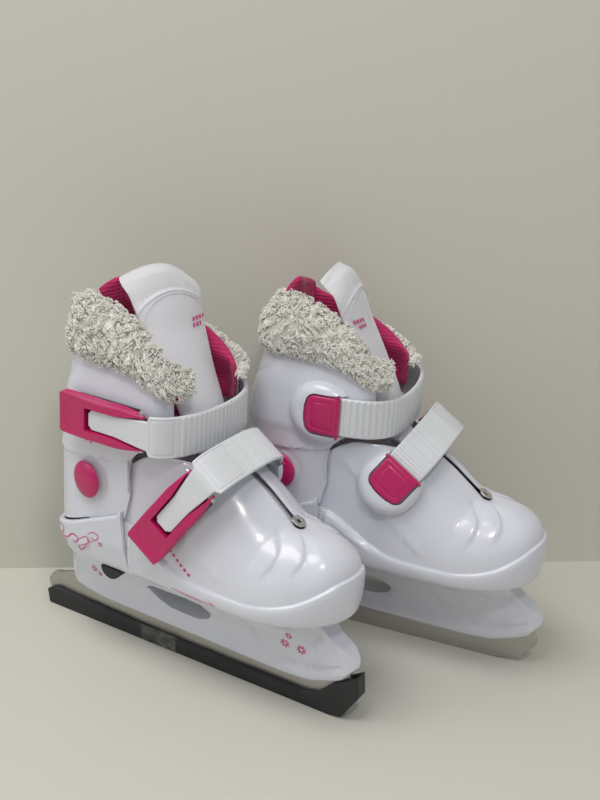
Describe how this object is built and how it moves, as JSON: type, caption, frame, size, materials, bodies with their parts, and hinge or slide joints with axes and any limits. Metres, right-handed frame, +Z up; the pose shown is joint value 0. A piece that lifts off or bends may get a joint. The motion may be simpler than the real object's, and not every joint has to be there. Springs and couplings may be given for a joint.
{
  "type": "pair of ice skates",
  "caption": "Children's ice skates with hard two-part boots, a tilting cuff, fur collar, two buckled straps, a steel blade with a toe pick and a clip-on edge guard.",
  "frame": {"origin": "on the floor, under the middle of the pair's box", "axes": "+X is the mean direction that the toes point, +Y is the wearer's left, +Z is up"},
  "size_m": [0.3188, 0.2026, 0.249],
  "materials": {
    "shell_plastic": "glossy bluish-white moulded plastic",
    "pink_plastic": "glossy magenta moulded plastic",
    "strap_plastic": "satin white flexible plastic",
    "blade_steel": "ground steel",
    "bright_steel": "plated steel fasteners",
    "black_plastic": "black moulded plastic",
    "fur": "cream curly plush",
    "liner_pink": "ribbed magenta lining",
    "liner_white": "white textured lining",
    "tongue_satin": "white satin with a knit band",
    "board": "plain insole board",
    "tape": "clear adhesive tape"
  },
  "bodies": {
    "right_chassis": {"right_blade": "blade_steel", "right_blade_holder": "shell_plastic", "right_blade_pins": "bright_steel", "right_chassis_screws": "bright_steel", "right_heel_shell": "shell_plastic", "right_footbed": "board", "right_liner_foot": "liner_white", "right_tongue_lower": "tongue_satin", "right_ankle_rivets": "pink_plastic"},
    "right_size_button": {"right_size_button": "black_plastic"},
    "right_toe": {"right_toe_shell": "shell_plastic", "right_toe_rivets": "bright_steel", "right_lower_strap": "strap_plastic", "right_lower_buckle_base": "black_plastic", "right_lower_pivot_pins": "bright_steel", "right_lower_clamp_housing": "shell_plastic"},
    "right_lower_lever": {"right_lower_lever": "pink_plastic"},
    "right_lower_clamp": {"right_lower_clamp": "pink_plastic"},
    "right_cuff": {"right_cuff_shell": "shell_plastic", "right_cuff_rivets": "bright_steel", "right_liner_collar": "liner_pink", "right_fur_collar": "fur", "right_tongue_upper": "tongue_satin", "right_upper_strap": "strap_plastic", "right_upper_buckle_base": "black_plastic", "right_upper_pivot_pins": "bright_steel", "right_upper_clamp_housing": "shell_plastic"},
    "right_upper_lever": {"right_upper_lever": "pink_plastic"},
    "right_upper_clamp": {"right_upper_clamp": "pink_plastic"},
    "guard": {"blade_guard": "black_plastic", "guard_tape": "tape"},
    "left_chassis": {"left_blade": "blade_steel", "left_blade_holder": "shell_plastic", "left_blade_pins": "bright_steel", "left_chassis_screws": "bright_steel", "left_heel_shell": "shell_plastic", "left_footbed": "board", "left_liner_foot": "liner_white", "left_tongue_lower": "tongue_satin", "left_ankle_rivets": "pink_plastic"},
    "left_size_button": {"left_size_button": "black_plastic"},
    "left_toe": {"left_toe_shell": "shell_plastic", "left_toe_rivets": "bright_steel", "left_lower_strap": "strap_plastic", "left_lower_buckle_base": "black_plastic", "left_lower_pivot_pins": "bright_steel", "left_lower_clamp_housing": "shell_plastic"},
    "left_lower_lever": {"left_lower_lever": "pink_plastic"},
    "left_lower_clamp": {"left_lower_clamp": "pink_plastic"},
    "left_cuff": {"left_cuff_shell": "shell_plastic", "left_cuff_rivets": "bright_steel", "left_liner_collar": "liner_pink", "left_fur_collar": "fur", "left_tongue_upper": "tongue_satin", "left_upper_strap": "strap_plastic", "left_upper_buckle_base": "black_plastic", "left_upper_pivot_pins": "bright_steel", "left_upper_clamp_housing": "shell_plastic"},
    "left_upper_lever": {"left_upper_lever": "pink_plastic"},
    "left_upper_clamp": {"left_upper_clamp": "pink_plastic"}
  },
  "joints": [
    {"name": "right_cuff_flex", "type": "hinge", "parent": "right_chassis", "child": "right_cuff", "pos_m": [-0.09363, -0.04343, 0.124], "axis": [0.0845, 0.9964, 0], "range_deg": [0, 2.4], "stiffness_Nm_per_rad": 3},
    {"name": "right_upper_lever_open", "type": "hinge", "parent": "right_cuff", "child": "right_upper_lever", "pos_m": [-0.05273, -0.09367, 0.1685], "axis": [0, 0, 1], "range_deg": [0, 95]},
    {"name": "right_upper_clamp_flip", "type": "hinge", "parent": "right_cuff", "child": "right_upper_clamp", "pos_m": [-0.05235, -0.00047, 0.1685], "axis": [0, 0, -1], "range_deg": [0, 10]},
    {"name": "right_size_slide", "type": "slide", "parent": "right_chassis", "child": "right_toe", "axis": [0.9964, -0.0845, 0], "range_m": [0, 0.018]},
    {"name": "right_lower_lever_open", "type": "hinge", "parent": "right_toe", "child": "right_lower_lever", "pos_m": [-0.01487, -0.09011, 0.14345], "axis": [-0.8162, 0.0693, 0.5736], "range_deg": [0, 95]},
    {"name": "right_lower_clamp_flip", "type": "hinge", "parent": "right_toe", "child": "right_lower_clamp", "pos_m": [-0.01075, -0.01238, 0.13993], "axis": [0.8162, -0.0693, -0.5736], "range_deg": [0, 10]},
    {"name": "right_size_button_press", "type": "slide", "parent": "right_chassis", "child": "right_size_button", "axis": [0.0845, 0.9964, 0], "range_m": [0, 0.0025], "stiffness_N_per_m": 300},
    {"name": "guard_pull_off", "type": "slide", "parent": "right_chassis", "child": "guard", "axis": [0, 0, -1], "range_m": [0, 0.03]},
    {"name": "left_cuff_flex", "type": "hinge", "parent": "left_chassis", "child": "left_cuff", "pos_m": [-0.01363, 0.04343, 0.12], "axis": [-0.0845, 0.9964, 0], "range_deg": [0, 2.4], "stiffness_Nm_per_rad": 3},
    {"name": "left_upper_lever_open", "type": "hinge", "parent": "left_cuff", "child": "left_upper_lever", "pos_m": [0.02727, 0.09367, 0.1645], "axis": [0, 0, -1], "range_deg": [0, 95]},
    {"name": "left_upper_clamp_flip", "type": "hinge", "parent": "left_cuff", "child": "left_upper_clamp", "pos_m": [0.02765, 0.00047, 0.1645], "axis": [0, 0, 1], "range_deg": [0, 10]},
    {"name": "left_size_slide", "type": "slide", "parent": "left_chassis", "child": "left_toe", "axis": [0.9964, 0.0845, 0], "range_m": [0, 0.018]},
    {"name": "left_lower_lever_open", "type": "hinge", "parent": "left_toe", "child": "left_lower_lever", "pos_m": [0.06513, 0.09011, 0.13945], "axis": [0.8162, 0.0693, -0.5736], "range_deg": [0, 95]},
    {"name": "left_lower_clamp_flip", "type": "hinge", "parent": "left_toe", "child": "left_lower_clamp", "pos_m": [0.06925, 0.01238, 0.13593], "axis": [-0.8162, -0.0693, 0.5736], "range_deg": [0, 10]},
    {"name": "left_size_button_press", "type": "slide", "parent": "left_chassis", "child": "left_size_button", "axis": [0.0845, -0.9964, 0], "range_m": [0, 0.0025], "stiffness_N_per_m": 300},
    {"name": "left_skate_lift", "type": "slide", "parent": "right_chassis", "child": "left_chassis", "axis": [0, 0, 1], "range_m": [0, 0.3]}
  ]
}
